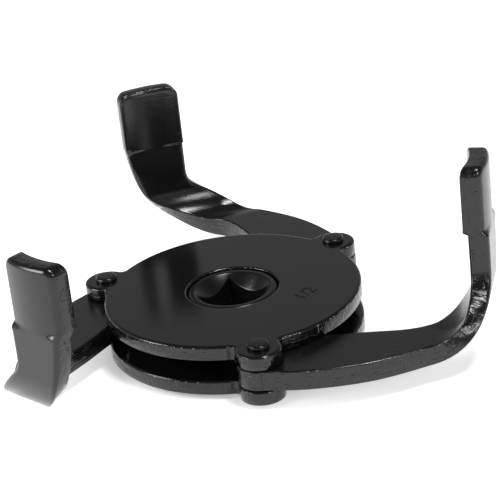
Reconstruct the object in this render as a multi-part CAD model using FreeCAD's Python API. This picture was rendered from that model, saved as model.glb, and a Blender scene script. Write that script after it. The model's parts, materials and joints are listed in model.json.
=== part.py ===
import FreeCAD, Part
import math
import os
from FreeCAD import Vector
from BOPTools import SplitAPI

os.makedirs("parts", exist_ok=True)

# Frame: origin on the tool's axis, on the lower plate's underside; +Z towards the leg tips.
# The front arm pivots on the -Y side; the other two follow a third of a turn apart.

# ---- drive hub; the square sets its size, and its teeth set the pivots' ----
driveSquare = 12.7          # across flats, standard half inch drive
driveTurn = -3.0            # degrees, one corner of the square from +X
countersinkLip = 0.72       # rim of the 45 degree lead-in beyond the square's corners
hubWall = 2.87              # square's corner to the journal's surface
hubChamfer = 0.9
toothLedge = 1.15           # journal's surface to the foot of the teeth
# ---- linkage ----
hubTeeth = 15               # a multiple of three, so all three arms mesh alike
sectorTeeth = 20            # teeth of the full wheel each sector is cut from
pressureAngle = 20.0
addendum = 0.8              # stub teeth, in modules
dedendum = 1.0
backlash = 0.16             # taken off the thickness of every tooth at the pitch line
toothFoot = 0.6             # how deep a tooth is sunk in its wheel, in modules
sectorBefore = 3            # whole teeth on the closing side of the centre line
sectorAfter = 1             # whole teeth on the opening side
# ---- plates ----
plateInset = 2.2            # disc's rim inside the circle through the pivots
plateThickness = 3.75
earRadius = 5.6
earBlend = 1.4              # hollow corner between ear and disc
rimRound = 0.45             # rolled top edge left by the blanking die
# ---- fits ----
runFit = 0.05               # radial, hub in plates and arm on rivet
armPlay = 0.2               # axial, arm to plate on either face
faceDrop = 0.35             # hub end face below the plate face
# ---- arms, flat part ----
armThickness = 5.2
eyeRadius = 5.6
outerStart = -96.0          # degrees, where the outer edge leaves the eye
outerSlope = -0.2           # of that edge where it leaves
innerSlope = -0.3           # of the inner edge where it leaves the sector
neckOuter = 17.5            # blank's edges at the fold line, outside the leg's outer edge
neckInner = 4.5
# each point as a share of the edge's chord: along it, and to its left
outerBow = ((0.1456, -0.0416), (0.3258, -0.0755), (0.6504, -0.0811))
innerBow = ((0.4480, -0.0385), (0.7742, -0.0642))
# ---- arms, fold and leg ----
bendRadius = 8.2            # inside of the fold
legReach = 61.6             # tool axis to the inner face of a leg
legLead = 67.1              # degrees, leg normal ahead of its own pivot
legOffset = 1.67            # middle of the leg's width from the radial line
legWidth = 16.5
legCorner = 3.0             # hollow corner where the leg's outer edge meets the neck
cornerDepth = 2.2           # neck outside the leg's edge where that corner begins
cornerSlope = 1.25
cornerLead = 0.4            # start of that corner before the end of the bend
neckOuterSlope = 0.72       # how the blank's edges cross the fold line
neckInnerSlope = 1.05
turnLength = 20.5           # fold line to where the inner edge has turned along the leg
turnInset = 2.2             # leg still narrower there than at its top
outerNeckBow = (0.5264, -0.0576)
innerNeckBow = ((0.5091, 0.0551), (0.7650, 0.0789))
# ---- arms, formed head ----
headBase = 30.3             # height of the formed head's lower end
headTop = 47.2
headDish = 1.4              # how far the head's long edges lean in
headRound = 2.6
# ---- rivets ----
shoulderRadius = 3.2
tenonRadius = 2.1
headRadius = 2.75
headHeight = 1.2
headEdge = 0.3

cornerRadius = driveSquare / math.sqrt(2.0)
countersinkRadius = cornerRadius + countersinkLip
journalRadius = cornerRadius + hubWall
hubHoleRadius = journalRadius + runFit
hubRoot = journalRadius + toothLedge
module = hubRoot / (0.5 * hubTeeth - dedendum)
pivotRadius = 0.5 * module * (hubTeeth + sectorTeeth)
plateRadius = pivotRadius - plateInset
plateGap = armThickness + 2.0 * armPlay
upperBase = plateThickness + plateGap
stackTop = upperBase + plateThickness
armBase = plateThickness + armPlay
armTop = armBase + armThickness
foldOuter = bendRadius + armThickness
foldMiddle = bendRadius + 0.5 * armThickness
foldLength = foldMiddle * math.pi / 2.0

legNormalAngle = math.radians(legLead - 90.0)
legNormal = Vector(math.cos(legNormalAngle), math.sin(legNormalAngle), 0)
legAcross = Vector(-legNormal.y, legNormal.x, 0)
foldOrigin = legNormal * (legReach - bendRadius) + legAcross * (legOffset - 0.5 * legWidth)
pivot = Vector(0, -pivotRadius, 0)


def polar(radius, degrees, z=0.0):
    angle = math.radians(degrees)
    return Vector(radius * math.cos(angle), radius * math.sin(angle), z)


def bowPoint(start, end, bow):
    """Point beside the chord from start to end, at the given shares of its length."""
    chord = end - start
    return start + chord * bow[0] + Vector(-chord.y, chord.x, 0) * bow[1]


def turned(shape, degrees):
    copy = shape.copy()
    copy.rotate(Vector(0, 0, 0), Vector(0, 0, 1), degrees)
    return copy


# ---- gear teeth ----
def involute(angle):
    return math.tan(angle) - angle


def flankAngle(radius, teeth):
    """Half the angle a tooth fills at this radius."""
    pitch = 0.5 * module * teeth
    base = pitch * math.cos(math.radians(pressureAngle))
    half = math.pi / (2.0 * teeth) - 0.5 * backlash / pitch
    rolled = math.acos(base / max(radius, base))
    return half + involute(math.radians(pressureAngle)) - involute(rolled)


def toothPrism(teeth, degrees, base, height):
    """One tooth, with its foot sunk a little below the root circle."""
    pitch = 0.5 * module * teeth
    tip = pitch + addendum * module
    root = pitch - dedendum * module
    start = max(root, pitch * math.cos(math.radians(pressureAngle)))
    steps = [start + (tip - start) * i / 6.0 for i in range(7)]     # six spans trace a flank
    middle = math.radians(degrees)
    left = [Vector(r * math.cos(middle + flankAngle(r, teeth)),
                   r * math.sin(middle + flankAngle(r, teeth)), base) for r in steps]
    right = [Vector(r * math.cos(middle - flankAngle(r, teeth)),
                    r * math.sin(middle - flankAngle(r, teeth)), base) for r in steps]
    foot = root - toothFoot * module
    foot1 = polar(foot, degrees + math.degrees(flankAngle(start, teeth)), base)
    foot2 = polar(foot, degrees - math.degrees(flankAngle(start, teeth)), base)
    leftCurve = Part.BSplineCurve()
    leftCurve.interpolate(left)
    rightCurve = Part.BSplineCurve()
    rightCurve.interpolate(right)
    crown = Part.Arc(left[-1], polar(tip, degrees, base), right[-1])
    edges = [Part.makeLine(foot1, left[0]), leftCurve.toShape(), crown.toShape(),
             rightCurve.toShape(), Part.makeLine(right[0], foot2), Part.makeLine(foot2, foot1)]
    face = Part.Face(Part.Wire(Part.__sortEdges__(edges)))
    return face.extrude(Vector(0, 0, height))


# ---- plates and rivets ----
def plate(base):
    shape = Part.makeCylinder(plateRadius, plateThickness, Vector(0, 0, base))
    for k in range(3):
        ear = Part.makeCylinder(earRadius, plateThickness, polar(pivotRadius, -90 + 120 * k, base))
        shape = shape.fuse(ear)
    shape = shape.removeSplitter()
    corners = []
    for edge in shape.Edges:
        ends = [v.Point for v in edge.Vertexes]
        if len(ends) == 2 and abs(ends[0].z - ends[1].z) > 0.5 * plateThickness:
            if abs(math.hypot(ends[0].x, ends[0].y) - plateRadius) < 0.01:
                corners.append(edge)
    shape = shape.makeFillet(earBlend, corners)
    top = [e for e in shape.Edges
           if all(abs(v.Point.z - base - plateThickness) < 1e-6 for v in e.Vertexes)]
    shape = shape.makeFillet(rimRound, top)
    shape = shape.cut(Part.makeCylinder(hubHoleRadius, plateThickness, Vector(0, 0, base)))
    for k in range(3):
        hole = Part.makeCylinder(tenonRadius, plateThickness, polar(pivotRadius, -90 + 120 * k, base))
        shape = shape.cut(hole)
    return shape


def rivet(degrees):
    """Shouldered rivet: the arm turns on the shoulder, the tenons are headed over the plates."""
    at = polar(pivotRadius, degrees)
    down = at - Vector(0, 0, headHeight)
    shape = Part.makeCylinder(tenonRadius, stackTop, at)
    shape = shape.fuse(Part.makeCylinder(shoulderRadius, plateGap, at + Vector(0, 0, plateThickness)))
    heads = []
    for origin, up in ((at + Vector(0, 0, stackTop), 1), (down, -1)):
        head = Part.makeCylinder(headRadius, headHeight, origin)
        outer = stackTop + headHeight if up > 0 else -headHeight
        rim = [e for e in head.Edges if all(abs(v.Point.z - outer) < 1e-6 for v in e.Vertexes)
               and len(e.Vertexes) == 1]
        heads.append(head.makeChamfer(headEdge, rim))
    for head in heads:
        shape = shape.fuse(head)
    return shape.removeSplitter()


# ---- hub ----
def hub():
    end = stackTop - faceDrop
    shape = Part.makeCylinder(journalRadius, end - faceDrop, Vector(0, 0, faceDrop))
    ends = [e for e in shape.Edges if len(e.Vertexes) == 1]
    shape = shape.makeChamfer(hubChamfer, ends)
    shape = shape.fuse(Part.makeCylinder(hubRoot, armThickness, Vector(0, 0, armBase)))
    pitchAngle = 360.0 / hubTeeth
    for k in range(hubTeeth):
        # a gap, not a tooth, faces the front pivot
        tooth = toothPrism(hubTeeth, -90 + (k + 0.5) * pitchAngle, armBase, armThickness)
        shape = shape.fuse(tooth)
    corners = [polar(cornerRadius, driveTurn + 90 * k) for k in range(4)]
    square = Part.Face(Part.makePolygon(corners + corners[:1])).extrude(Vector(0, 0, stackTop))
    shape = shape.cut(square)
    depth = countersinkRadius
    shape = shape.cut(Part.makeCone(0, depth, depth, Vector(0, 0, end - depth)))
    shape = shape.cut(Part.makeCone(depth, 0, depth, Vector(0, 0, faceDrop)))
    return shape.removeSplitter()


# ---- arm blank, drawn flat: s runs out along the leg from the fold line, w across it ----
def blank(s, w):
    """Plan position of a blank point before folding."""
    return foldOrigin + legNormal * s + legAcross * w


def folded(s, w, depth):
    """Where a blank point lands; depth is measured up from the blank's lower face."""
    if s <= 0:
        run, z = s, armBase + depth
    elif s <= foldLength:
        angle = s / foldMiddle
        run = (foldOuter - depth) * math.sin(angle)
        z = armBase + foldOuter - (foldOuter - depth) * math.cos(angle)
    else:
        run, z = foldOuter - depth, armBase + foldOuter + s - foldLength
    flat = blank(run, w)
    return Vector(flat.x, flat.y, z)


def edgeCurve(points, start, end):
    curve = Part.BSplineCurve()
    curve.interpolate(Points=points, InitialTangent=start, FinalTangent=end)
    return curve


def outerEdge():
    """Fold part of the blank's outer edge, as runs of (s, w): neck, hollow corner, leg edge."""
    foot = Vector(0, -neckOuter, 0)
    start = Vector(foldLength - cornerLead, -cornerDepth, 0)
    turn = Vector(start.x + cornerDepth / cornerSlope, 0, 0)
    end = Vector(turn.x + legCorner, 0, 0)
    neck = edgeCurve([foot, bowPoint(foot, start, outerNeckBow), start],
                     Vector(1, neckOuterSlope, 0), Vector(1, cornerSlope, 0))
    corner = Part.BezierCurve()
    corner.setPoles([start, turn, end])
    return [neck.toShape().discretize(14), corner.toShape().discretize(7),
            [end, Vector(headTop, 0, 0)]]


def innerEdge():
    """Fold part of the blank's inner edge, as runs of (s, w): neck, then a slow turn to the leg."""
    foot = Vector(0, -neckInner, 0)
    turn = Vector(turnLength, legWidth - turnInset, 0)
    bows = [bowPoint(foot, turn, bow) for bow in innerNeckBow]
    curve = edgeCurve([foot] + bows + [turn, Vector(headTop, legWidth, 0)],
                      Vector(1, neckInnerSlope, 0), Vector(1, 0, 0))
    return [curve.toShape().discretize(24)]


def sideSheets(runs, slope):
    """Cutting sheets square to the folded blank along one of its edges, one for each run."""
    lead = runs[0][0] - Vector(2.0, 2.0 * slope, 0)
    sheets = []
    for points in [[lead, runs[0][0]]] + runs:
        rails = []
        for depth in (-1.0, armThickness + 1.0):
            rail = Part.BSplineCurve()
            rail.interpolate([folded(p.x, p.y, depth) for p in points])
            rails.append(rail.toShape())
        sheets.append(Part.makeRuledSurface(rails[0], rails[1]))
    return sheets


def foldedStrip():
    """Quarter bend and leg up to the head, trimmed to the blank's edges."""
    def place(run, z):
        flat = blank(run, -40.0)
        return Vector(flat.x, flat.y, z)
    centre = armBase + foldOuter
    root = math.sqrt(0.5)
    outer = Part.Arc(place(0, armBase),
                     place(foldOuter * root, centre - foldOuter * root), place(foldOuter, centre))
    inner = Part.Arc(place(0, armTop),
                     place(bendRadius * root, centre - bendRadius * root), place(bendRadius, centre))
    edges = [outer.toShape(), inner.toShape(),
             Part.makeLine(place(foldOuter, centre), place(foldOuter, headBase)),
             Part.makeLine(place(foldOuter, headBase), place(bendRadius, headBase)),
             Part.makeLine(place(bendRadius, headBase), place(bendRadius, centre)),
             Part.makeLine(place(0, armTop), place(0, armBase))]
    slab = Part.Face(Part.Wire(Part.__sortEdges__(edges))).extrude(legAcross * 80.0)
    sheets = sideSheets(outerEdge(), neckOuterSlope) + sideSheets(innerEdge(), neckInnerSlope)
    pieces = SplitAPI.slice(slab, sheets, "Split").Solids
    probe = folded(foldLength + 4.0, 0.5 * legWidth, 0.5 * armThickness)
    return [piece for piece in pieces if piece.isInside(probe, 0.01, False)][0]


def head():
    """Dished head: an arc in plan, hollow towards the tool's axis, with rounded top corners."""
    half = 0.5 * legWidth
    radius = (half * half + headDish * headDish) / (2.0 * headDish)
    facing = legNormal * (legReach + armThickness) + legAcross * legOffset
    centre = facing - legNormal * (radius + armThickness)
    base = Vector(0, 0, headBase)
    height = headTop - headBase
    ring = Part.makeCylinder(radius + armThickness, height, centre + base)
    ring = ring.cut(Part.makeCylinder(radius, height, centre + base))
    origin = facing - legAcross * half - legNormal * (armThickness + headDish + 2.0)

    def corner(w, z):
        return origin + legAcross * w + Vector(0, 0, z)
    r = headRound
    d = r * (1 - math.sqrt(0.5))
    edges = [Part.makeLine(corner(0, headBase), corner(0, headTop - r)),
             Part.Arc(corner(0, headTop - r), corner(d, headTop - d), corner(r, headTop)).toShape(),
             Part.makeLine(corner(r, headTop), corner(legWidth - r, headTop)),
             Part.Arc(corner(legWidth - r, headTop), corner(legWidth - d, headTop - d),
                      corner(legWidth, headTop - r)).toShape(),
             Part.makeLine(corner(legWidth, headTop - r), corner(legWidth, headBase)),
             Part.makeLine(corner(legWidth, headBase), corner(0, headBase))]
    outline = Part.Face(Part.Wire(edges))
    return ring.common(outline.extrude(legNormal * (armThickness + headDish + 4.0)))


def flatPart():
    """Crescent, eye and toothed sector, all in the plane between the plates."""
    lift = Vector(0, 0, armBase)
    foldOut = blank(0, -neckOuter)
    foldIn = blank(0, -neckInner)
    eyeOut = pivot + polar(eyeRadius, outerStart)
    bows = [bowPoint(eyeOut, foldOut, bow) for bow in outerBow]
    outer = edgeCurve([eyeOut] + bows + [foldOut],
                      Vector(1, outerSlope, 0), legNormal + legAcross * neckOuterSlope)
    sectorRoot = 0.5 * module * sectorTeeth - dedendum * module
    pitchAngle = 360.0 / sectorTeeth
    first = 90 - (sectorBefore + 0.5) * pitchAngle
    last = 90 + (sectorAfter + 0.5) * pitchAngle
    sectorIn = pivot + polar(sectorRoot, first)
    bows = [bowPoint(sectorIn, foldIn, bow) for bow in innerBow]
    inner = edgeCurve([sectorIn] + bows + [foldIn],
                      Vector(1, innerSlope, 0), legNormal + legAcross * neckInnerSlope)
    eyeIn = pivot + polar(0.5 * eyeRadius, 90)
    edges = [outer.toShape(), Part.makeLine(foldOut, foldIn), inner.toShape(),
             Part.makeLine(sectorIn, eyeIn), Part.makeLine(eyeIn, eyeOut)]
    crescent = Part.Face(Part.Wire(Part.__sortEdges__(edges)))
    shape = crescent.extrude(Vector(0, 0, armThickness))
    shape.translate(lift)
    sector = Part.makeCylinder(sectorRoot, armThickness, pivot + lift, Vector(0, 0, 1), last - first)
    sector.rotate(pivot, Vector(0, 0, 1), first)
    shape = shape.fuse(sector)
    shape = shape.fuse(Part.makeCylinder(eyeRadius, armThickness, pivot + lift))
    for i in range(-sectorBefore, sectorAfter + 1):
        tooth = toothPrism(sectorTeeth, 90 + i * pitchAngle, armBase, armThickness)
        tooth.translate(pivot)
        shape = shape.fuse(tooth)
    bore = Part.makeCylinder(shoulderRadius + runFit, armThickness, pivot + lift)
    return shape.cut(bore)


def arm():
    shape = flatPart().fuse(foldedStrip())
    shape = shape.fuse(head())
    return shape.removeSplitter()


nodes = {"lower_plate": plate(0.0), "upper_plate": plate(upperBase), "drive_hub": hub()}
frontArm = arm()
for name, degrees in (("front", 0), ("back", 120), ("left", 240)):
    nodes["arm_" + name] = turned(frontArm, degrees)
    nodes["rivet_" + name] = rivet(-90 + degrees)
for name, shape in nodes.items():
    solid = shape.Solids[0] if len(shape.Solids) == 1 else shape
    print(name, len(shape.Solids), round(solid.Volume, 1), solid.isValid())
    solid.exportStep("parts/" + name + ".step")
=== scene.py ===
# Oil filter wrench: plates, drive hub, three folded arms and their rivets, in glossy black enamel.
# Shapes are worked out in millimetres and turned into metres when a mesh is made.
import json
import math

import bpy
import numpy as np
from mathutils import Matrix, Vector
from mathutils.geometry import delaunay_2d_cdt


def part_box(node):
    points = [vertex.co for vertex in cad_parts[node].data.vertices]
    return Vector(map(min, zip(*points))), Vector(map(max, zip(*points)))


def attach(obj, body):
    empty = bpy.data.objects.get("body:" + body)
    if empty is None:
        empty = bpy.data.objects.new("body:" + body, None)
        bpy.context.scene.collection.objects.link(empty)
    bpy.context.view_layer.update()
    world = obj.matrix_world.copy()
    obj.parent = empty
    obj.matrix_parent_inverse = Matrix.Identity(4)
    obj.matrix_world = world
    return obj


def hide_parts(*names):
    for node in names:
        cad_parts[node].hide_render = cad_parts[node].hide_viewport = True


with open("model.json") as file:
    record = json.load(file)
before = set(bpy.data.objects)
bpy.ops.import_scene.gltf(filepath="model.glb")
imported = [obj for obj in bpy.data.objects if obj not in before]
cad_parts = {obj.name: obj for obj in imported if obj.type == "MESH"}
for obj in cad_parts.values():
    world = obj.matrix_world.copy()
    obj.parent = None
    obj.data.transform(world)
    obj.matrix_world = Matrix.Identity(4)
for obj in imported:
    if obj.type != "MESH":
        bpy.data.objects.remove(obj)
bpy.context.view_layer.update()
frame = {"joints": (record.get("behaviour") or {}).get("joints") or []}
scene = bpy.context.scene
millimetre = 0.001
armNames = ("front", "back", "left")
print("frame loaded")


# point at a radius and an angle in degrees, for one value or an array of either
def polar(radius, degrees):
    angle = np.radians(degrees)
    return np.stack([radius * np.cos(angle), radius * np.sin(angle)], -1)


# ease from 0 to 1: cubic in the share of the way from low to high
def ease(value, low, high):
    share = np.clip((value - low) / (high - low), 0, 1)
    return share * share * (3 - 2 * share)


# cubic spline through points with unit end slopes: each span is a Hermite cubic over its chord,
# and the inner slopes are the ones that make the curvature continuous
def splineThrough(points, startSlope, endSlope, step):
    points = np.array(points, float)
    count = len(points)
    chord = np.linalg.norm(np.diff(points, axis=0), axis=1)
    system = np.eye(count)
    right = np.zeros((count, 2))
    right[0] = np.array(startSlope) / np.linalg.norm(startSlope)
    right[-1] = np.array(endSlope) / np.linalg.norm(endSlope)
    for i in range(1, count - 1):
        a, b = chord[i - 1], chord[i]
        system[i, i - 1:i + 2] = b, 2 * (a + b), a
        right[i] = 3 * (b / a * (points[i] - points[i - 1]) + a / b * (points[i + 1] - points[i]))
    slope = np.linalg.solve(system, right)
    parts = []
    for i in range(count - 1):
        t = np.linspace(0, 1, max(2, round(chord[i] / step)), endpoint=False)[:, None]
        parts.append((2 * t**3 - 3 * t**2 + 1) * points[i] + (t**3 - 2 * t**2 + t) * chord[i] * slope[i]
                     + (3 * t**2 - 2 * t**3) * points[i + 1] + (t**3 - t**2) * chord[i] * slope[i + 1])
    return np.vstack(parts + [points[-1:]])


# straight run of points from a to b, about one step apart, without its last point
def run(a, b, step):
    a, b = np.array(a, float), np.array(b, float)
    t = np.linspace(0, 1, max(1, math.ceil(np.linalg.norm(b - a) / step)), endpoint=False)[:, None]
    return a + (b - a) * t


# arc of points about a centre between two angles in degrees, without its last point
def arc(centre, radius, start, end, step):
    count = max(2, math.ceil(abs(math.radians(end - start)) * radius / step))
    return np.array(centre) + polar(radius, np.linspace(start, end, count, endpoint=False))


# point beside a chord, at shares of its length along it and to its left
def besideChord(start, end, bow):
    chord = np.array(end) - np.array(start)
    return np.array(start) + chord * bow[0] + np.array([-chord[1], chord[0]]) * bow[1]


# inside test by crossings: a point is inside when an odd number of the loop's sides pass to its right
def insideLoop(points, loop):
    a, b = loop, np.roll(loop, -1, 0)
    x, y = points[:, 0:1], points[:, 1:2]
    spans = (a[:, 1] > y) != (b[:, 1] > y)
    rise = np.where(np.abs(b[:, 1] - a[:, 1]) < 1e-12, 1e-12, b[:, 1] - a[:, 1])
    crossing = a[:, 0] + (y - a[:, 1]) * (b[:, 0] - a[:, 0]) / rise
    return (np.sum(spans & (x < crossing), axis=1) % 2) == 1


# loop with points that coincide taken out
def cleaned(loop):
    loop = np.array(loop)
    keep = np.linalg.norm(loop - np.roll(loop, 1, 0), axis=1) > 0.02
    return loop[keep]


# unit directions from a loop into the metal: the mean of the two neighbouring sides' left normals,
# lengthened at a corner so that an inset keeps its distance; the loop runs with the metal on its left
def inward(loop):
    side = np.roll(loop, -1, 0) - loop
    side /= np.linalg.norm(side, axis=1)[:, None]
    left = np.stack([-side[:, 1], side[:, 0]], -1)
    mean = left + np.roll(left, 1, 0)
    mean /= np.maximum(np.linalg.norm(mean, axis=1), 1e-9)[:, None]
    cosine = np.sum(mean * left, axis=1)
    return mean / np.maximum(cosine, 0.6)[:, None]


# mesh object from arrays of points in millimetres and faces, smooth shaded
def makeMesh(name, points, faces, material):
    mesh = bpy.data.meshes.new(name)
    mesh.from_pydata((np.asarray(points) * millimetre).tolist(), [], faces)
    mesh.validate()
    mesh.update()
    mesh.polygons.foreach_set("use_smooth", [True] * len(mesh.polygons))
    mesh.materials.append(material)
    piece = bpy.data.objects.new(name, mesh)
    scene.collection.objects.link(piece)
    return piece


pressing = {"steps": 5, "margin": 0.22, "rimSharpness": 8, "gridShift": 0.3, "gridClear": 0.45}


# rounded edge of one loop, ring by ring from the lower face up the side to the upper face: across is
# inset x (1 - sine) and depth is drop x (1 - cosine) below, and the same mirrored above, between two
# narrow flat margins. Returns flat places, depths and the walk: along the edge, depth, side mark.
def edgeRings(loop, inset, dropAbove, dropBelow, thickness, torn):
    angles = np.linspace(0, math.pi / 2, pressing["steps"] + 1)[:, None]
    none = np.zeros(len(loop))
    inset, above, below = inset + none, dropAbove + none, dropBelow + none
    rolled = inset * (1 - np.sin(angles))
    flatEdge = inset + pressing["margin"]
    across = np.vstack([flatEdge, rolled, rolled[::-1], flatEdge])
    depth = np.vstack([none, below * (1 - np.cos(angles)),
                       thickness - above * (1 - np.cos(angles[::-1])), none + thickness])
    flat = loop[None] + inward(loop)[None] * across[..., None]
    along = np.cumsum(np.linalg.norm(loop - np.roll(loop, 1, 0), axis=1))
    wall = np.sin(angles)**pressing["rimSharpness"] * torn + none
    side = np.vstack([none, wall, wall[::-1], none])
    walk = np.stack([np.tile(along, len(depth)), depth.ravel(), side.ravel()], -1)
    return flat, depth, walk


# quads between neighbouring rings of a closed band, with points numbered ring by ring
def bandQuads(rings, count):
    ring, at = np.meshgrid(np.arange(rings - 1), np.arange(count), indexing="ij")
    nextAt = (at + 1) % count
    return np.stack([ring * count + at, ring * count + nextAt,
                     (ring + 1) * count + nextAt, (ring + 1) * count + at], -1).reshape(-1, 4)


# true for the points inside the first loop and outside all the others
def onSheet(points, insets):
    keep = insideLoop(points, insets[0])
    for inset in insets[1:]:
        keep &= ~insideLoop(points, inset)
    return keep


# points of a square grid on the sheet, with any extra points, kept clear of the loops
def sheetGrid(insets, edge, grid, extraPoints):
    low, high = insets[0].min(0), insets[0].max(0)
    shift = pressing["gridShift"] * grid
    u, v = np.meshgrid(np.arange(low[0] + shift, high[0], grid),
                       np.arange(low[1] + shift, high[1], grid))
    inner = np.stack([u.ravel(), v.ravel()], -1)
    if extraPoints is not None:
        inner = np.vstack([inner, extraPoints])
    inner = inner[onSheet(inner, insets)]
    block = 200     # loop points compared at once
    for first in range(0, len(edge), block):
        near = np.linalg.norm(inner[:, None] - edge[None, first:first + block], axis=2).min(1)
        inner = inner[near > pressing["gridClear"] * grid]
    return inner


# Pressed plate: a rounded edge is carried along each loop of the outline, and both faces are filled
# with triangles between the inset loops. place(u, v, depth) puts a flat point where it lies. A loop
# is (points, inset, drop above, drop below), each one number or one for every point. The attribute
# edgeWalk holds how far a side point is along the edge and through the metal, and 1 on the side or
# 0 on a face; torn scales that mark along the first loop.
def pressed(name, loops, thickness, place, material, grid, extraPoints=None, torn=1):
    points, faces, insets, walks, bottoms, tops, start = [], [], [], [], [], [], 0
    for loop, inset, dropAbove, dropBelow in loops:
        flat, depth, walk = edgeRings(loop, inset, dropAbove, dropBelow, thickness,
                                      torn if start == 0 else 1)
        rings, count = depth.shape
        points.append(place(flat[..., 0].ravel(), flat[..., 1].ravel(), depth.ravel()))
        walks.append(walk)
        faces += (bandQuads(rings, count) + start).tolist()
        insets.append(flat[0])
        bottoms.append(start + np.arange(count))
        tops.append(start + (rings - 1) * count + np.arange(count))
        start += rings * count
    edge = np.vstack(insets)
    inner = sheetGrid(insets, edge, grid, extraPoints)
    sides, at = [], 0
    for inset in insets:
        index = np.arange(len(inset))
        sides += np.stack([at + index, at + (index + 1) % len(inset)], -1).tolist()
        at += len(inset)
    corners = [Vector(p) for p in np.vstack([edge, inner]).tolist()]
    found, _, triangles, origin, _, _ = delaunay_2d_cdt(corners, sides, [], 0, 1e-6)
    found = np.array([tuple(p) for p in found])
    triangles = np.array(triangles)
    triangles = triangles[onSheet(found[triangles].mean(1), insets)]
    a, b, c = found[triangles[:, 0]], found[triangles[:, 1]], found[triangles[:, 2]]
    turn = (b[:, 0] - a[:, 0]) * (c[:, 1] - a[:, 1]) - (b[:, 1] - a[:, 1]) * (c[:, 0] - a[:, 0])
    triangles[turn < 0] = triangles[turn < 0][:, ::-1]
    source = np.array([o[0] for o in origin])
    below = np.concatenate(bottoms + [start + np.arange(len(inner))])
    above = np.concatenate(tops + [start + len(inner) + np.arange(len(inner))])
    points.append(place(inner[:, 0], inner[:, 1], np.zeros(len(inner))))
    points.append(place(inner[:, 0], inner[:, 1], np.full(len(inner), thickness)))
    faces += above[source[triangles]].tolist()
    faces += below[source[triangles]][:, ::-1].tolist()
    piece = makeMesh(name, np.vstack(points), faces, material)
    walk = piece.data.attributes.new("edgeWalk", "FLOAT_VECTOR", "POINT")
    walks.append(np.zeros((2 * len(inner), 3)))
    walk.data.foreach_set("vector", np.vstack(walks).ravel())
    return piece


# Solid of revolution: each row of radii and heights is the profile at one angle in degrees, carried
# round an upright axis at a plan position. An open profile starts and ends on the axis.
def revolved(name, centre, angles, radii, heights, material, closed=True):
    count, rings = radii.shape
    flat = np.array(centre) + polar(radii, np.asarray(angles)[:, None])
    points = np.concatenate([flat, heights[..., None]], -1).reshape(-1, 3)
    i, j = np.meshgrid(np.arange(count), np.arange(rings if closed else rings - 1), indexing="ij")
    nextI, nextJ = (i + 1) % count, (j + 1) % rings
    index = np.arange(count * rings).reshape(count, rings)
    if not closed:      # every angle shares the two points on the axis
        index[:, 0], index[:, -1] = 0, rings - 1
    quads = np.stack([index[i, j], index[nextI, j], index[nextI, nextJ], index[i, nextJ]], -1)
    faces = [list(dict.fromkeys(quad)) for quad in quads.reshape(-1, 4).tolist()]
    if not closed:
        used = np.unique(np.concatenate(faces))
        order = np.zeros(len(points), int)
        order[used] = np.arange(len(used))
        points = points[used]
        faces = [[int(order[k]) for k in face] for face in faces]
    return makeMesh(name, points, faces, material)


# corner points of a profile eased into short arcs: each corner becomes a quadratic curve between two
# points a small reach away along its neighbouring sides; arrays hold one profile in each row
def easedProfile(radii, heights, reach, closed):
    corners = np.stack([radii, heights], -1)
    before, after = np.roll(corners, 1, 1), np.roll(corners, -1, 1)
    lengthBefore = np.linalg.norm(before - corners, axis=2, keepdims=True)
    lengthAfter = np.linalg.norm(after - corners, axis=2, keepdims=True)
    first = corners + (before - corners) * np.minimum(reach / np.maximum(lengthBefore, 1e-6), 0.45)
    last = corners + (after - corners) * np.minimum(reach / np.maximum(lengthAfter, 1e-6), 0.45)
    shares = (0.0, 0.25, 0.5, 0.75, 1.0)
    rows = [(1 - t)**2 * first + 2 * t * (1 - t) * corners + t**2 * last for t in shares]
    if not closed:      # the two ends stay on the axis
        for row in rows:
            row[:, 0] = corners[:, 0]
            row[:, -1] = corners[:, -1]
    eased = np.stack(rows, 2).reshape(len(corners), -1, 2)
    if not closed:
        eased = eased[:, 4:-4]
    return eased[..., 0], eased[..., 1]


# lowest and highest level of a node of the frame
def boxHeights(node):
    low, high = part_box(node)
    return low.z / millimetre, high.z / millimetre


pivots = {}      # plan place of each arm's rivet, read from its joint
for joint in frame["joints"]:
    if joint["name"].endswith("_arm_swing"):
        pivots[joint["name"].split("_")[0]] = np.array(joint["pos_m"][:2]) / millimetre
pivotRadius = float(np.linalg.norm(pivots["front"]))
# how far each arm is turned from the front one
turns = {name: math.degrees(math.atan2(at[1], at[0])) + 90 for name, at in pivots.items()}

gearing = {"hubTeeth": 15, "sectorTeeth": 20, "pressureAngle": 20.0, "addendum": 0.8, "dedendum": 1.0,
           "backlash": 0.16, "before": 3, "after": 1}
module = 2 * pivotRadius / (gearing["hubTeeth"] + gearing["sectorTeeth"])


# half the angle of a tooth at a radius, in degrees: half its pitch-line angle, plus the involute's
# roll at the pitch line, less its roll at that radius
def flankAngle(radius, teeth):
    pitch = 0.5 * module * teeth
    pressure = math.radians(gearing["pressureAngle"])
    rolled = np.arccos(np.clip(pitch * math.cos(pressure) / radius, -1, 1))
    half = math.pi / (2 * teeth) - 0.5 * gearing["backlash"] / pitch
    return np.degrees(half + math.tan(pressure) - pressure - np.tan(rolled) + rolled)


# radii from a tooth's foot to its tip, where the involute begins at the base circle
def toothRadii(teeth):
    pitch = 0.5 * module * teeth
    base = pitch * math.cos(math.radians(gearing["pressureAngle"]))
    root = pitch - gearing["dedendum"] * module
    return root, np.linspace(max(root, base), pitch + gearing["addendum"] * module, 6)


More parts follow.
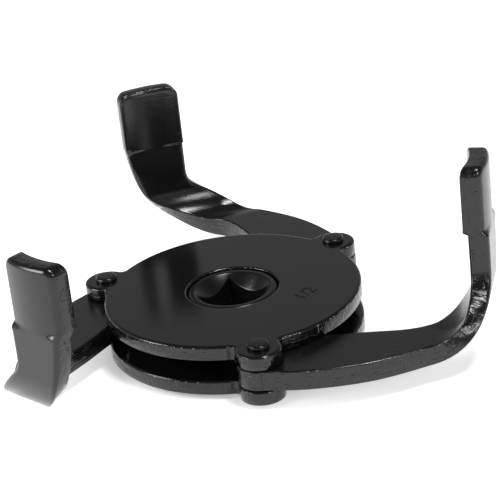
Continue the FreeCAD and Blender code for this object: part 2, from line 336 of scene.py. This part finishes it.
arm = {"eye": 5.6, "bore": 3.25, "boreRoll": 0.2, "play": 0.2, "grid": 0.62,
       "outerStart": -96.0, "outerSlope": -0.2, "innerSlope": -0.3,
       "neckOuter": 17.5, "neckInner": 4.5, "neckOuterSlope": 0.72, "neckInnerSlope": 1.05,
       "outerBow": ((0.1456, -0.0416), (0.3258, -0.0755), (0.6504, -0.0811)),
       "innerBow": ((0.4480, -0.0385), (0.7742, -0.0642)),
       "outerNeckBow": (0.5264, -0.0576),
       "innerNeckBow": ((0.5091, 0.0551), (0.7650, 0.0789)),
       "bend": 8.2, "legReach": 61.6, "legAngle": -22.9, "legOffset": 1.67, "legWidth": 16.5,
       "legCorner": 3.0, "cornerDepth": 2.2, "cornerSlope": 1.25, "cornerLead": 0.4,
       "turnLength": 20.5, "turnInset": 2.2, "headBase": 30.3, "headDish": 1.4, "headRound": 2.6,
       "roll": 0.35, "rollAbove": 0.35, "rollBelow": 0.25,
       "legRoll": 1.35, "legRollAbove": 0.6, "legRollBelow": 1.3, "legRollZone": (6, 22),
       "legTorn": 0.5, "legTornZone": (8, 18),
       "ledge": 0.9, "ledgeSpread": -0.6, "ledgeRoll": 0.45, "ledgeRollWidth": 1.1,
       "crown": 1.1, "crownMiddle": 4.0, "crownHalf": 12.5, "crownIn": (-2, 8),
       "crownOut": (16, 26), "ripple": 0.004}
lowerTop, upperBottom = boxHeights("lower_plate")[1], boxHeights("upper_plate")[0]
armBase = lowerTop + arm["play"]
armThickness = upperBottom - lowerTop - 2 * arm["play"]
headTop = boxHeights("arm_front")[1]
foldOuter = arm["bend"] + armThickness
foldMiddle = arm["bend"] + 0.5 * armThickness
foldLength = 0.5 * math.pi * foldMiddle
legNormal = polar(1.0, arm["legAngle"])
legAcross = np.array([-legNormal[1], legNormal[0]])
foldOrigin = (legNormal * (arm["legReach"] - arm["bend"])
              + legAcross * (arm["legOffset"] - 0.5 * arm["legWidth"]))
headStart = arm["headBase"] - armBase - foldOuter + foldLength
headEnd = headTop - armBase - foldOuter + foldLength
ledgeRows = headStart + arm["ledge"] * np.linspace(-1.5, 1.5, 13)


# plan point to blank measures: s out along the leg from the fold line, w across it
def toBlank(point):
    offset = np.asarray(point) - foldOrigin
    return np.stack([offset @ legNormal, offset @ legAcross], -1)


# outer side of the blank from the eye to the leg: a spline to the fold, one on to the leg's corner,
# and a quadratic curve round that corner
def outerSide(eyeOut, tilted, step):
    foldOut = np.array([0, -arm["neckOuter"]])
    bows = [besideChord(eyeOut, foldOut, bow) for bow in arm["outerBow"]]
    parts = [splineThrough([eyeOut] + bows + [foldOut], tilted @ (1, arm["outerSlope"]),
                           (1, arm["neckOuterSlope"]), step)]
    start = np.array([foldLength - arm["cornerLead"], -arm["cornerDepth"]])
    turn = np.array([start[0] + arm["cornerDepth"] / arm["cornerSlope"], 0])
    end = turn + (arm["legCorner"], 0)
    parts.append(splineThrough([foldOut, besideChord(foldOut, start, arm["outerNeckBow"]), start],
                               (1, arm["neckOuterSlope"]), (1, arm["cornerSlope"]), step))
    t = np.linspace(0, 1, 9)[1:-1, None]
    parts.append((1 - t)**2 * start + 2 * t * (1 - t) * turn + t**2 * end)
    parts.append(run(end, (ledgeRows[0], 0), step))
    return parts


# the head's outline: straight sides and two round corners
def headSide(step):
    corner, width = arm["headRound"], arm["legWidth"]
    middle, cornerStep = headEnd - corner, 0.35
    return [np.stack([ledgeRows, 0 * ledgeRows], -1),
            run((ledgeRows[-1] + step, 0), (middle, 0), step),
            arc((middle, corner), corner, -90, 0, cornerStep),
            run((headEnd, corner), (headEnd, width - corner), step),
            arc((middle, width - corner), corner, 0, 90, cornerStep),
            run((middle, width), (ledgeRows[-1] + step, width), step)]


# inner side of the blank from the head back to the sector: the ledge, a spline down the leg to the
# fold, and one on to the sector's root
def innerSide(sectorIn, tilted, step):
    width, foot = arm["legWidth"], headStart - arm["ledge"]
    foldIn = np.array([0, -arm["neckInner"]])
    turned = np.array([arm["turnLength"], width - arm["turnInset"]])
    bows = [besideChord(foldIn, turned, bow) for bow in arm["innerNeckBow"]]
    edge = splineThrough([foldIn] + bows + [turned, (headTop, width)],
                         (1, arm["neckInnerSlope"]), (1, 0), step)
    leg = np.interp(foot, edge[:, 0], edge[:, 1])
    parts = [np.array([(headStart + arm["ledge"], width), (foot, leg)]),
             edge[edge[:, 0] < foot - 0.5 * step][::-1]]
    bows = [besideChord(sectorIn, foldIn, bow) for bow in arm["innerBow"]]
    parts.append(splineThrough([sectorIn] + bows + [foldIn], tilted @ (1, arm["innerSlope"]),
                               (1, arm["neckInnerSlope"]), step)[::-1])
    return parts


# closed outline of the flat arm blank, counter-clockwise from the eye: crescent, neck, leg, head,
# leg, neck, crescent, toothed sector and round the eye
def armOutline():
    step = arm["grid"]
    pivot = np.array([0.0, -pivotRadius])
    tilt = np.radians(-arm["legAngle"])
    tilted = np.array([[math.cos(tilt), -math.sin(tilt)], [math.sin(tilt), math.cos(tilt)]])
    root, flanks = toothRadii(gearing["sectorTeeth"])
    half = flankAngle(flanks, gearing["sectorTeeth"])
    pitchAngle = 360.0 / gearing["sectorTeeth"]
    first = 90 - (gearing["before"] + 0.5) * pitchAngle
    last = 90 + (gearing["after"] + 0.5) * pitchAngle
    parts = outerSide(toBlank(pivot + polar(arm["eye"], arm["outerStart"])), tilted, step)
    parts += headSide(step)
    parts += innerSide(toBlank(pivot + polar(root, first)), tilted, step)
    for i in range(-gearing["before"], gearing["after"] + 1):
        rise = np.concatenate([[root], flanks, flanks[::-1], [root]])
        angle = np.concatenate([[-half[0]], -half, half[::-1], [half[0]]]) + 90 + i * pitchAngle
        parts.append(toBlank(pivot + polar(rise, angle)))
    parts.append(toBlank(pivot + polar(np.linspace(root, arm["eye"] + step, 18), last)))
    parts.append(toBlank(arc(pivot, arm["eye"], last, 360 + arm["outerStart"], step)))
    return cleaned(np.vstack(parts))


# where a blank point lands: straight on before the fold, round it as run = radius x sine and
# height = radius x (1 - cosine), straight up after it; the bend's inner face is crowned by the
# square of the distance from its middle, and the head leans in by an arc's sagitta
def foldedArm(degrees):
    cosine, sine = math.cos(math.radians(degrees)), math.sin(math.radians(degrees))
    half = 0.5 * arm["legWidth"]
    dish = (half**2 + arm["headDish"]**2) / (2 * arm["headDish"])

    def place(s, w, depth):
        angle = np.clip(s / foldMiddle, 0, math.pi / 2)
        ripple = arm["ripple"] * (np.sin(0.9 * s + 0.35 * w) + 0.7 * np.sin(1.7 * w - 0.6 * s))
        bent = ease(s, *arm["crownIn"]) * (1 - ease(s, *arm["crownOut"]))
        aside = np.clip((w - arm["crownMiddle"]) / arm["crownHalf"], -1, 1)
        through = depth / armThickness
        depth = depth + ripple * bent - arm["crown"] * aside**2 * bent * through
        run = np.minimum(s, 0) + (foldOuter - depth) * np.sin(angle)
        z = armBase + foldOuter - (foldOuter - depth) * np.cos(angle) + np.maximum(s - foldLength, 0)
        lean = dish - np.sqrt(dish**2 - np.minimum(np.abs(w - half), half)**2)
        ledge = arm["ledge"] * (1 + arm["ledgeSpread"] * through)
        run = run - lean * ease(s, headStart - ledge, headStart + ledge)
        flat = foldOrigin + np.outer(run, legNormal) + np.outer(w, legAcross)
        x = flat[:, 0] * cosine - flat[:, 1] * sine
        y = flat[:, 0] * sine + flat[:, 1] * cosine
        return np.stack([x, y, z], -1)
    return place


# one arm: its rolls are eased from the flat part's to the leg's, and pinched at the ledge
def buildArm(name, material):
    s, w = np.meshgrid(ledgeRows, np.arange(0.9, arm["legWidth"] - 0.8, 0.5))
    bore = arc(toBlank((0.0, -pivotRadius)), arm["bore"], 360, 0, 0.5)
    outline = armOutline()
    along = outline[:, 0]
    pinch = arm["ledgeRoll"] * np.exp(-((along - headStart) / arm["ledgeRollWidth"])**2)
    leg = ease(along, *arm["legRollZone"]) - pinch
    rolls = [arm[key] + leg * (arm["leg" + key[0].upper() + key[1:]] - arm[key])
             for key in ("roll", "rollAbove", "rollBelow")]
    torn = 1 - (1 - arm["legTorn"]) * ease(along, *arm["legTornZone"])
    loops = [(outline, *rolls), (bore, *[arm["boreRoll"]] * 3)]
    piece = pressed(name + "_arm", loops, armThickness, foldedArm(turns[name]), material,
                    arm["grid"], np.stack([s.ravel(), w.ravel()], -1), torn)
    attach(piece, name + "_arm")
    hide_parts("arm_" + name)


platePress = {"inset": 2.2, "ear": 5.6, "earBlend": 1.4, "hole": 11.9, "rivetHole": 2.1,
              "roll": 0.7, "rollAbove": 0.6, "rollBelow": 0.15, "holeRoll": 0.35,
              "rivetRoll": 0.1, "grid": 1.3}


# outline of a plate: a disc with three round ears, each joined by hollow arcs that touch both circles
def plateOutline():
    disc, ear, blend = pivotRadius - platePress["inset"], platePress["ear"], platePress["earBlend"]
    far, near = disc + blend, ear + blend
    turn = math.degrees(math.acos((far**2 + pivotRadius**2 - near**2) / (2 * far * pivotRadius)))
    lean = math.degrees(math.acos((near**2 + pivotRadius**2 - far**2) / (2 * near * pivotRadius)))
    parts = []
    for k in range(3):
        middle = -90 + 120 * k
        hollow = polar(far, middle - turn)
        parts.append(arc(hollow, blend, middle - turn + 180, middle + lean, 0.4))
        parts.append(arc(polar(pivotRadius, middle), ear, middle + lean - 180,
                         middle - lean + 180, 0.5))
        hollow = polar(far, middle + turn)
        parts.append(arc(hollow, blend, middle - lean, middle + turn - 180, 0.4))
        parts.append(arc((0, 0), disc, middle + turn, middle + 120 - turn, 0.8))
    return cleaned(np.vstack(parts))


# one plate: the outline and its four holes, lifted straight up from the node's underside
def buildPlate(node, material):
    base, top = boxHeights(node)
    loops = [(plateOutline(), platePress["roll"], platePress["rollAbove"], platePress["rollBelow"]),
             (arc((0, 0), platePress["hole"], 360, 0, 0.5), *[platePress["holeRoll"]] * 3)]
    for name in armNames:
        loops.append((arc(pivots[name], platePress["rivetHole"], 360, 0, 0.5),
                      *[platePress["rivetRoll"]] * 3))

    def place(x, y, depth):
        return np.stack([x, y, base + depth], -1)
    piece = pressed(node.replace("_", "") + "_pressing", loops, top - base, place, material,
                    platePress["grid"])
    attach(piece, "frame")
    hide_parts(node)


hub = {"journal": 11.85, "square": 12.7, "squareTurn": -3.0, "countersink": 9.70, "chamfer": 0.9,
       "easing": 0.3, "angleStep": 0.5}


# hub as one closed ring of profiles: for each angle the bore's radius is the square's side there,
# the lead-in cone meets it at a depth equal to how far the side lies inside the cone's rim, and the
# teeth are the involute's radius at that angle
def buildHub(material):
    base, top = boxHeights("drive_hub")
    angles = np.arange(0, 360, hub["angleStep"])
    count = len(angles)
    aside = np.radians((angles - hub["squareTurn"]) % 90 - 45)
    bore = 0.5 * hub["square"] / np.cos(aside)
    sink = hub["countersink"] - bore
    teeth = gearing["hubTeeth"]
    root, flanks = toothRadii(teeth)
    pitchAngle = 360.0 / teeth
    offset = np.abs((angles + 90) % pitchAngle - 0.5 * pitchAngle)
    half = flankAngle(flanks, teeth)
    wheel = np.where(offset > half[0], root, np.interp(offset, half[::-1], flanks[::-1]))
    journal = np.full(count, hub["journal"])
    edge = journal - hub["chamfer"]
    rim = np.full(count, hub["countersink"])
    armTop = armBase + armThickness
    radii = np.stack([rim, edge, journal, journal, wheel, wheel, journal, journal, edge, rim,
                      bore, bore], 1)
    levels = [base, base, base + hub["chamfer"], armBase, armBase, armTop, armTop,
              top - hub["chamfer"], top, top]
    heights = np.stack([np.full(count, z) for z in levels] + [top - sink, base + sink], 1)
    radii, heights = easedProfile(radii, heights, hub["easing"], True)
    piece = revolved("square_drive_hub", (0, 0), angles, radii, heights, material)
    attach(piece, "hub")
    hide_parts("drive_hub")


rivet = {"tenon": 2.1, "shoulder": 3.2, "head": 2.75, "headBevel": 0.35, "headDrop": 0.4,
         "crown": 0.03, "easing": 0.22, "angleStep": 5.0}


# rivet as a solid of revolution: flat-crowned heads, tenons through the plates, wider shoulder
def buildRivet(name, material):
    lowest, highest = boxHeights("rivet_" + name)
    stackTop = boxHeights("upper_plate")[1]
    head, tenon, shoulder = rivet["head"], rivet["tenon"], rivet["shoulder"]
    flat, drop, crown = head - rivet["headBevel"], rivet["headDrop"], rivet["crown"]
    corners = [(0, lowest), (flat, lowest + crown), (head, lowest + drop), (head, 0.0),
               (tenon, 0.0), (tenon, lowerTop), (shoulder, lowerTop), (shoulder, upperBottom),
               (tenon, upperBottom), (tenon, stackTop), (head, stackTop), (head, highest - drop),
               (flat, highest - crown), (0, highest)]
    angles = np.arange(0, 360, rivet["angleStep"])
    shape = np.repeat(np.array(corners)[None], len(angles), 0)
    radii, heights = easedProfile(shape[..., 0], shape[..., 1], rivet["easing"], False)
    piece = revolved(name + "_rivet", pivots[name], angles, radii, heights, material, False)
    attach(piece, "frame")
    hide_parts("rivet_" + name)


# one number socket of a node tree; arithmetic on it adds Math nodes
class Level:
    def __init__(self, paint, socket):
        self.paint, self.socket = paint, socket

    def join(self, operation, first, second):
        node = self.paint.add("ShaderNodeMath", {"operation": operation}, {0: first, 1: second})
        return Level(self.paint, node.outputs[0])

    def __add__(self, other):
        return self.join("ADD", self, other)

    __radd__ = __add__

    def __sub__(self, other):
        return self.join("SUBTRACT", self, other)

    def __rsub__(self, other):
        return self.join("SUBTRACT", other, self)

    def __mul__(self, other):
        return self.join("MULTIPLY", self, other)

    __rmul__ = __mul__

    def above(self, low, high):     # 0 below low, 1 above high, a smooth ramp between
        node = self.paint.add("ShaderNodeMapRange", {"interpolation_type": "SMOOTHSTEP"},
                              {"Value": self, "From Min": low, "From Max": high})
        return Level(self.paint, node.outputs["Result"])


# a node tree with its shader, and the one way that nodes are added to it
class Paint:
    def __init__(self, tree, shader):
        self.tree, self.shader = tree, tree.nodes[shader]

    def feed(self, socket, value):
        if isinstance(value, Level):
            self.tree.links.new(value.socket, socket)
        elif isinstance(value, bpy.types.NodeSocket):
            self.tree.links.new(value, socket)
        else:
            socket.default_value = value

    def add(self, kind, settings, values):
        node = self.tree.nodes.new(kind)
        for name, value in settings.items():
            setattr(node, name, value)
        for name, value in values.items():
            self.feed(node.inputs[name], value)
        return node

    def stretched(self, vector, scale):
        return self.add("ShaderNodeMapping", {}, {"Vector": vector, "Scale": scale}).outputs["Vector"]

    def place(self, scale):      # object coordinates, stretched along each axis
        return self.stretched(self.add("ShaderNodeTexCoord", {}, {}).outputs["Object"], scale)

    def noise(self, vector, scale, detail=2.0, rough=0.5):
        node = self.add("ShaderNodeTexNoise", {}, {"Vector": vector, "Scale": scale,
                                                   "Detail": detail, "Roughness": rough})
        return Level(self, node.outputs[0])

    def cells(self, vector, scale):
        node = self.add("ShaderNodeTexVoronoi", {}, {"Vector": vector, "Scale": scale})
        return Level(self, node.outputs["Distance"])

    def blend(self, share, first, second):
        node = self.add("ShaderNodeMix", {"data_type": "RGBA"}, {0: share, 6: first, 7: second})
        return node.outputs[2]


# a new material and the paint that its nodes are added with
def newMaterial(name):
    material = bpy.data.materials.new(name)
    material.use_nodes = True
    return material, Paint(material.node_tree, "Principled BSDF")


finishes = {
    "plate": {"colour": (0.0045, 0.0046, 0.0048, 1), "dusty": (0.014, 0.014, 0.0135, 1),
              "rough": 0.08, "specular": 0.5, "wave": 0.04, "peel": 0.03, "grain": 0.04,
              "pits": 0.1, "specks": 1.0, "shear": 0.9},
    "arm": {"colour": (0.0042, 0.0043, 0.0045, 1), "dusty": (0.018, 0.018, 0.0175, 1),
            "rough": 0.13, "specular": 0.5, "wave": 0.16, "peel": 0.035, "grain": 0.13,
            "pits": 0.15, "specks": 0.5, "shear": 1.0},
    # the size figures are coloured darker than the plate: painted shade standing in for the dark of
    # stamped grooves
    "mark": {"colour": (0.002, 0.002, 0.002, 1), "dusty": (0.01, 0.01, 0.01, 1),
             "rough": 0.5, "specular": 0.2, "wave": 0.0, "peel": 0.1, "grain": 0.0,
             "pits": 0.1, "specks": 0.3, "shear": 0.0},
    "hub": {"colour": (0.004, 0.004, 0.0042, 1), "dusty": (0.012, 0.012, 0.012, 1),
            "rough": 0.2, "specular": 0.35, "wave": 0.0, "peel": 0.04, "grain": 0.04,
            "pits": 0.15, "specks": 0.5, "shear": 0.0},
    "rivet": {"colour": (0.004, 0.004, 0.0042, 1), "dusty": (0.016, 0.016, 0.0155, 1),
              "rough": 0.2, "specular": 0.35, "wave": 0.05, "peel": 0.06, "grain": 0.08,
              "pits": 0.3, "specks": 0.5, "shear": 0.0}}

# sizes of the coat's patterns, as repeats in a metre of the piece, or in a millimetre of its edge
pattern = {"cloud": 55, "wave": 130, "peel": 750, "fine": 3200, "lines": 260,
           "pitCells": 420, "pitPatches": 130, "speckCells": 900, "speckPatches": 210,
           "runs": 0.9, "blobs": 2.4, "craters": 0.75, "drips": 0.8, "chipsAndGlints": 0.9}
# how the patterns are stretched: sanding lines across the piece, marks along the sheared edge
stretch = {"brushed": (1, 14, 3), "sheared": (1, 0.22, 0), "drawn": (0.38, 1.1, 0)}
# the chip colour is light grey: partly bare-metal wear, partly painted glints along the edge
coat = {"speckColour": (0.16, 0.16, 0.155, 1), "chipAndGlintColour": (0.3, 0.3, 0.29, 1),
        "bump": 0.6, "bumpDepth": 0.0004, "shearHeight": 0.4, "chipDepth": 0.2}


# black enamel: waves, orange peel, sanding lines under the coat, small pits, dust specks and thin
# dust; on the sheared sides runs, blobs, craters and drips, with light bare patches chipped just under
# the edge, partly wear and partly painted glints
def enamel(name):
    look = finishes[name]
    material, paint = newMaterial(name + "_enamel")
    even, brushed = paint.place((1, 1, 1)), paint.place(stretch["brushed"])
    cloud = paint.noise(even, pattern["cloud"], 3)
    wave = paint.noise(even, pattern["wave"], 1)
    peel = paint.noise(even, pattern["peel"], 2)
    fine = paint.noise(even, pattern["fine"], 2)
    lines = paint.noise(brushed, pattern["lines"], 4, 0.7)
    pits = ((1 - paint.cells(even, pattern["pitCells"]).above(0.05, 0.16))
            * paint.noise(even, pattern["pitPatches"], 1).above(0.52, 0.62))
    specks = ((1 - paint.cells(even, pattern["speckCells"]).above(0.03, 0.10))
              * paint.noise(even, pattern["speckPatches"], 1).above(0.6, 0.66) * look["specks"])
    dust = cloud.above(0.48, 0.8) * fine.above(0.42, 0.75)

    walk = paint.add("ShaderNodeAttribute", {"attribute_name": "edgeWalk"}, {}).outputs["Vector"]
    side = Level(paint, paint.add("ShaderNodeSeparateXYZ", {}, {"Vector": walk}).outputs["Z"])
    sheared, drawn = paint.stretched(walk, stretch["sheared"]), paint.stretched(walk, stretch["drawn"])
    runs = paint.noise(sheared, pattern["runs"], 3, 0.6)
    blobs = paint.noise(sheared, pattern["blobs"], 2)
    craters = 1 - paint.cells(sheared, pattern["craters"]).above(0.06, 0.2)
    drips = paint.noise(drawn, pattern["drips"], 2).above(0.56, 0.62)
    shear = side * (runs * 1.3 + blobs * 0.7 - craters * 2 - drips * 1.1) * look["shear"]
    edge = side.above(0.5, 0.6) * (1 - side.above(0.85, 0.98))
    # lighter patches just under the edge: partly chipped wear, partly painted glints
    chipsAndGlints = edge * paint.noise(sheared, pattern["chipsAndGlints"], 2).above(0.58, 0.62) * look["shear"]

    colour = paint.blend(dust * 0.3, look["colour"], look["dusty"])
    colour = paint.blend(specks, colour, coat["speckColour"])
    colour = paint.blend(chipsAndGlints, colour, coat["chipAndGlintColour"])
    rough = (look["rough"] + cloud * 0.05 + fine * 0.03 - side * 0.05 + specks * 0.4 + pits * 0.2
             + side * drips * 0.2)
    height = (wave * look["wave"] + peel * look["peel"] + lines * look["grain"] * (1 - side)
              - pits * look["pits"] + specks * 0.1 + shear * coat["shearHeight"]
              - chipsAndGlints * coat["chipDepth"])
    bump = paint.add("ShaderNodeBump", {}, {"Height": height, "Strength": coat["bump"],
                                            "Distance": coat["bumpDepth"]})
    sockets = paint.shader.inputs
    paint.feed(sockets["Base Color"], colour)
    paint.feed(sockets["Roughness"], rough)
    paint.feed(sockets["Normal"], bump.outputs["Normal"])
    sockets["Specular IOR Level"].default_value = look["specular"]
    return material


enamels = {name: enamel(name) for name in finishes}
print("enamels mixed")

for name in armNames:
    buildArm(name, enamels["arm"])
print("arms folded")
for node in ("lower_plate", "upper_plate"):
    buildPlate(node, enamels["plate"])
buildHub(enamels["hub"])
for name in armNames:
    buildRivet(name, enamels["rivet"])
print("plates, hub and rivets made")

sizeMark = {"text": "1/2", "height": 5.2, "proud": 0.05, "turn": 41.0, "at": (15.2, -14.2)}


# drive size in plain numerals on the plate, as thin raised figures turned and set in place; their
# darker colour is painted shade standing in for stamped grooves
def buildSizeMark(material):
    words = bpy.data.curves.new("size_words", "FONT")
    words.body, words.size = sizeMark["text"], sizeMark["height"] * millimetre
    words.extrude, words.resolution_u = sizeMark["proud"] * millimetre, 3
    shown = bpy.data.objects.new("size_words", words)
    scene.collection.objects.link(shown)
    bpy.context.view_layer.update()
    evaluated = shown.evaluated_get(bpy.context.evaluated_depsgraph_get())
    mesh = bpy.data.meshes.new_from_object(evaluated)
    bpy.data.objects.remove(shown)
    x, y = sizeMark["at"]
    top = boxHeights("upper_plate")[1]
    place = Matrix.Translation((x * millimetre, y * millimetre, top * millimetre))
    mesh.transform(place @ Matrix.Rotation(math.radians(sizeMark["turn"]), 4, "Z"))
    mesh.materials.clear()
    mesh.materials.append(material)
    piece = bpy.data.objects.new("drive_size_mark", mesh)
    scene.collection.objects.link(piece)
    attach(piece, "frame")


buildSizeMark(enamels["mark"])
print("size marked")

floorLook = {"size": 6.0, "cells": 20, "colour": (0.86, 0.86, 0.86, 1),
             "grainColour": (0.85, 0.85, 0.85, 1), "grain": 90, "roughness": 0.75, "glow": 0.6,
             "shaded": (0.018, 0.04)}
studio = {"sky": 0.12, "horizon": 0.55, "dimAbove": 0.7, "skyColour": (1, 1, 1, 1)}
lamps = {"left_softbox": {"at": (-0.85, -0.1, 0.45), "target": (-0.15, 0, 0), "size": 0.5, "power": 8},
         "overhead_lamp": {"at": (0.25, -0.17, 1.06), "target": (0, 0, 0.03), "size": 0.24, "power": 6},
         "front_softbox": {"at": (0.58, -0.86, 0.59), "target": (0, 0, 0.03), "size": 0.3, "power": 3}}
camera = {"place": (-0.05856, -0.45593, 0.23088), "forward": (0.126910, 0.902130, -0.412378),
          "up": (0.169170, 0.389964, 0.905157), "lens": 144.0}


# floor as a square grid just under the rivets' lower heads; it glows like a light table, with a painted
# shadow under the tool: the glow fades by the distance from its axis
def buildFloor():
    material, paint = newMaterial("pale_floor")
    even = paint.place((1, 1, 1))
    grain = paint.noise(even, floorLook["grain"], 3)
    away = paint.add("ShaderNodeVectorMath", {"operation": "LENGTH"}, {0: paint.place((1, 1, 0))})
    lit = Level(paint, away.outputs["Value"]).above(*floorLook["shaded"])
    sockets = paint.shader.inputs
    paint.feed(sockets["Base Color"],
               paint.blend(grain * 0.05, floorLook["colour"], floorLook["grainColour"]))
    paint.feed(sockets["Roughness"], floorLook["roughness"] + grain * 0.05)
    # black glow within the tool's footprint: a painted shadow
    paint.feed(sockets["Emission Color"], paint.blend(lit, (0, 0, 0, 1), (1, 1, 1, 1)))
    sockets["Emission Strength"].default_value = floorLook["glow"]
    cells = floorLook["cells"]
    line = np.linspace(-0.5, 0.5, cells + 1) * floorLook["size"] / millimetre
    x, y = np.meshgrid(line, line)
    low = boxHeights("rivet_front")[0]
    points = np.stack([x.ravel(), y.ravel(), np.full(x.size, low)], -1)
    i, j = np.meshgrid(np.arange(cells), np.arange(cells))
    first = (j * (cells + 1) + i).ravel()
    quads = np.stack([first, first + 1, first + cells + 2, first + cells + 1], -1)
    makeMesh("floor", points, quads.tolist(), material)


# soft square lamp, aimed at its target
def hangLamp(name):
    look = lamps[name]
    data = bpy.data.lights.new(name, "AREA")
    data.shape, data.size, data.energy = "SQUARE", look["size"], look["power"]
    light = bpy.data.objects.new(name, data)
    light.location = look["at"]
    aim = Vector(look["target"]) - Vector(look["at"])
    light.rotation_euler = aim.to_track_quat("-Z", "Y").to_euler()
    scene.collection.objects.link(light)


# sky that is paler near the horizon than overhead
def buildSky():
    world = bpy.data.worlds.new("studio")
    scene.world = world
    world.use_nodes = True
    paint = Paint(world.node_tree, "Background")
    around = paint.add("ShaderNodeTexCoord", {}, {}).outputs["Generated"]
    height = paint.add("ShaderNodeSeparateXYZ", {}, {"Vector": around}).outputs["Z"]
    dimmed = paint.add("ShaderNodeMapRange", {}, {"Value": height, "From Max": studio["dimAbove"],
                                                  "To Min": studio["horizon"],
                                                  "To Max": studio["sky"]})
    paint.shader.inputs["Color"].default_value = studio["skyColour"]
    paint.feed(paint.shader.inputs["Strength"], dimmed.outputs["Result"])


# camera at a place, facing forward, with up squared to it by cross products
def placeCamera():
    forward = Vector(camera["forward"]).normalized()
    right = forward.cross(Vector(camera["up"])).normalized()
    turned = Matrix((right, right.cross(forward), -forward)).transposed().to_4x4()
    data = bpy.data.cameras.new("camera")
    data.lens, data.sensor_width = camera["lens"], 36.0
    data.clip_start, data.clip_end = 0.02, 50.0
    viewer = bpy.data.objects.new("camera", data)
    viewer.matrix_world = Matrix.Translation(camera["place"]) @ turned
    scene.collection.objects.link(viewer)
    scene.camera = viewer


buildFloor()
for name in lamps:
    hangLamp(name)
buildSky()
placeCamera()
scene.view_settings.view_transform = "Standard"
print("studio set")
